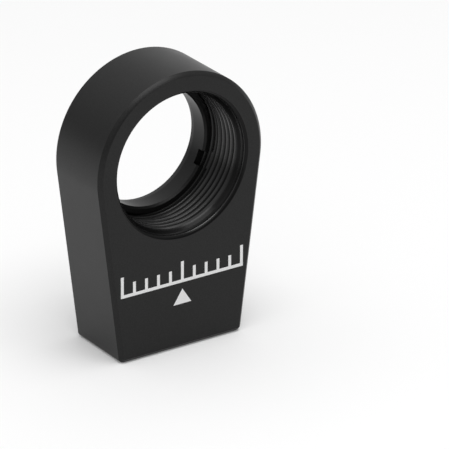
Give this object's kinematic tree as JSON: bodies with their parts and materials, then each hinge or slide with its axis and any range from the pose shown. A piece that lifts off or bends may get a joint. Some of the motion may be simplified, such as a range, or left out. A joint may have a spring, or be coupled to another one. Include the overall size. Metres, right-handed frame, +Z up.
{
  "type": "optical lens mount",
  "caption": "Fixed upright mount for a small round optic: a plate with a round head, a threaded stepped bore with a screw-in retaining ring, and a tapped hole in its flat foot.",
  "frame": {"origin": "centre of the foot, on the surface that the mount stands on", "axes": "+Z up; the optical axis runs along Y at z = 14 mm, with the threaded mouth facing -Y; +X to the right of someone looking along +Y into the mouth"},
  "size_m": [0.0136, 0.006, 0.0208],
  "materials": {
    "anodised_aluminium": "fine-blasted, black anodised, satin",
    "ring_anodised_aluminium": "turned, black anodised, satin"
  },
  "bodies": {
    "mount": {"mount_body": "anodised_aluminium"},
    "ring": {"retaining_ring": "ring_anodised_aluminium"}
  },
  "joints": [
    {"name": "ring_unscrew", "type": "slide", "parent": "mount", "child": "ring", "axis": [0, -1, 0], "range_m": [0, 0.006]}
  ]
}
